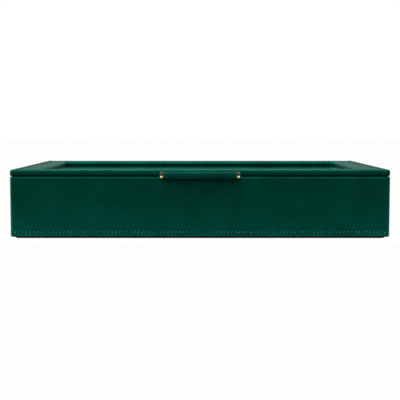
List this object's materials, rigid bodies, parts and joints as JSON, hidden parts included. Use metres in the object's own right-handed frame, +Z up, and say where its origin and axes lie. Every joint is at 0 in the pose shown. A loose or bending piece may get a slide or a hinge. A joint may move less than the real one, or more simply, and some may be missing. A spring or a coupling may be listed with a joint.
{
  "type": "jewelry box with window",
  "caption": "Low leather-covered jewellery box with a hinged lid round a glass window, a leather-rolled front pull with brass beads, and ring rolls and lined compartments inside.",
  "frame": {"origin": "centre of the felt face that the box rests on", "axes": "+X to the right along the long side, -Y out of the front with the pull, +Z up"},
  "size_m": [0.356, 0.2431, 0.064],
  "materials": {
    "green_leather": "smooth dark green leather with a fine grain and a soft sheen",
    "board": "plain fibreboard",
    "suede": "matt green microsuede lining",
    "black_felt": "black felt",
    "window_glass": "clear float glass",
    "brass": "polished brass",
    "glazing_tape": "black foam tape"
  },
  "bodies": {
    "base": {"base_pad": "black_felt", "base_infill_card": "board", "base_bottom_panel": "board", "base_front_wall": "board", "base_rear_wall": "board", "base_left_wall": "board", "base_right_wall": "board", "base_leather_wrap": "green_leather", "floor_lining": "suede", "front_wall_lining": "suede", "rear_wall_lining": "suede", "left_wall_lining": "suede", "right_wall_lining": "suede", "ring_zone_divider": "suede", "bracelet_zone_divider": "suede", "trinket_column_divider": "suede", "trinket_front_divider": "suede", "trinket_rear_divider": "suede", "bracelet_front_divider": "suede", "bracelet_rear_divider": "suede", "ring_platform": "board", "ring_roll_1": "suede", "ring_roll_2": "suede", "ring_roll_3": "suede", "ring_roll_4": "suede", "ring_roll_5": "suede", "ring_roll_6": "suede", "ring_roll_7": "suede", "ring_roll_8": "suede", "hinge_base_leaf_left": "brass", "hinge_pin_left": "brass", "hinge_base_leaf_right": "brass", "hinge_pin_right": "brass", "hinge_base_screws": "brass"},
    "lid": {"lid_front_rail": "board", "lid_rear_rail": "board", "lid_left_stile": "board", "lid_right_stile": "board", "lid_leather_wrap": "green_leather", "glazing_tape": "glazing_tape", "window_glass": "window_glass", "retainer_front": "suede", "retainer_rear": "suede", "retainer_left": "suede", "retainer_right": "suede", "hinge_lid_leaf_left": "brass", "hinge_lid_leaf_right": "brass", "hinge_lid_screws": "brass", "pull_tab_root": "green_leather"},
    "pull_tab": {"pull_tab_loop": "green_leather", "pull_rod": "brass", "pull_cap_left": "brass", "pull_cap_right": "brass"}
  },
  "joints": [
    {"name": "lid_hinge", "type": "hinge", "parent": "base", "child": "lid", "pos_m": [0, 0.1143, 0.0583], "axis": [-1, 0, 0], "range_deg": [0, 95]},
    {"name": "pull_tab_lift", "type": "hinge", "parent": "lid", "child": "pull_tab", "pos_m": [0, -0.11825, 0.059], "axis": [-1, 0, 0], "range_deg": [0, 35], "stiffness_Nm_per_rad": 0.004}
  ]
}
